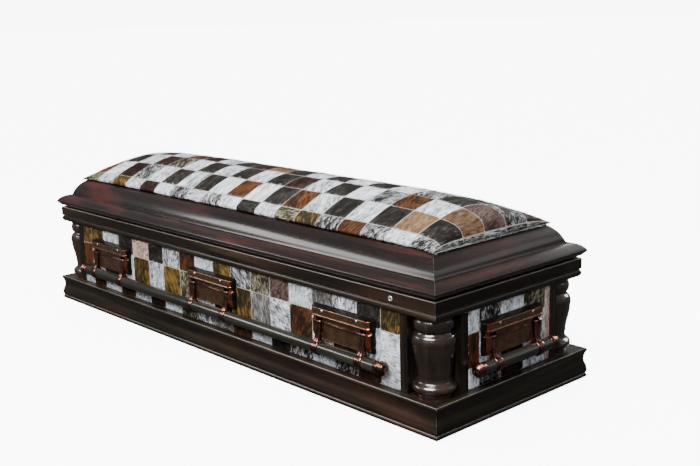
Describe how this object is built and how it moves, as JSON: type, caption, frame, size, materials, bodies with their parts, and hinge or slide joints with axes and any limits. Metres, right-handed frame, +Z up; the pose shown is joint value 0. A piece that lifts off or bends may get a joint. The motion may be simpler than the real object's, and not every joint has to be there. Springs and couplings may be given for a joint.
{
  "type": "funeral casket",
  "caption": "Lidded burial box with turned corner columns, hide-covered sides, a moulded lid with a domed patchwork pad, and swing bars to carry it by.",
  "frame": {"origin": "on the floor, under the middle of the plinth", "axes": "+X along the casket, towards the end that shows in the picture; -Y is the long side that shows; +Z up"},
  "size_m": [2.174, 0.744, 0.6078],
  "materials": {
    "dark_wood": "dark walnut stain under semi-gloss lacquer",
    "lid_wood": "dark red mahogany stain under gloss lacquer",
    "bar_wood": "dark stained round bar under gloss lacquer",
    "plain_wood": "plain sanded board",
    "hide": "patchwork of short-haired hide, white, grey, tan and rust",
    "pad_hide": "patchwork of short-haired hide, white, dark grey, rust and tan",
    "copper": "antique copper plate on cast metal",
    "steel": "bright plate"
  },
  "bodies": {
    "casket": {"bottom_board": "plain_wood", "column_back_left": "dark_wood", "column_back_right": "dark_wood", "column_front_left": "dark_wood", "column_front_right": "dark_wood", "corner_post_back_left": "dark_wood", "corner_post_back_right": "dark_wood", "corner_post_front_left": "dark_wood", "corner_post_front_right": "dark_wood", "hide_panel_back": "hide", "hide_panel_front": "hide", "hide_panel_left": "hide", "hide_panel_right": "hide", "lid_board": "plain_wood", "lid_moulding_back": "lid_wood", "lid_moulding_front": "lid_wood", "lid_moulding_left": "lid_wood", "lid_moulding_right": "lid_wood", "lid_pad": "pad_hide", "lock_barrel": "steel", "lug_back_left": "copper", "lug_back_middle": "copper", "lug_back_right": "copper", "lug_front_left": "copper", "lug_front_middle": "copper", "lug_front_right": "copper", "lug_left": "copper", "lug_right": "copper", "plinth_back": "dark_wood", "plinth_front": "dark_wood", "plinth_left": "dark_wood", "plinth_right": "dark_wood", "rail_back": "dark_wood", "rail_front": "dark_wood", "rail_left": "dark_wood", "rail_right": "dark_wood"},
    "front_bar": {"arm_pair_front_left": "copper", "arm_pair_front_middle": "copper", "arm_pair_front_right": "copper", "bar_front": "bar_wood", "bar_tip_front_left": "copper", "bar_tip_front_right": "copper"},
    "back_bar": {"arm_pair_back_left": "copper", "arm_pair_back_middle": "copper", "arm_pair_back_right": "copper", "bar_back": "bar_wood", "bar_tip_back_left": "copper", "bar_tip_back_right": "copper"},
    "left_bar": {"arm_pair_left": "copper", "bar_left": "bar_wood", "bar_tip_left_back": "copper", "bar_tip_left_front": "copper"},
    "right_bar": {"arm_pair_right": "copper", "bar_right": "bar_wood", "bar_tip_right_back": "copper", "bar_tip_right_front": "copper"}
  },
  "joints": [
    {"name": "front_bar_swing", "type": "hinge", "parent": "casket", "child": "front_bar", "pos_m": [0, -0.3398, 0.24], "axis": [-1, 0, 0], "range_deg": [0, 75]},
    {"name": "back_bar_swing", "type": "hinge", "parent": "casket", "child": "back_bar", "pos_m": [0, 0.3398, 0.24], "axis": [1, 0, 0], "range_deg": [0, 75]},
    {"name": "left_bar_swing", "type": "hinge", "parent": "casket", "child": "left_bar", "pos_m": [-1.0548, 0, 0.24], "axis": [0, 1, 0], "range_deg": [0, 75]},
    {"name": "right_bar_swing", "type": "hinge", "parent": "casket", "child": "right_bar", "pos_m": [1.0548, 0, 0.24], "axis": [0, -1, 0], "range_deg": [0, 75]}
  ]
}
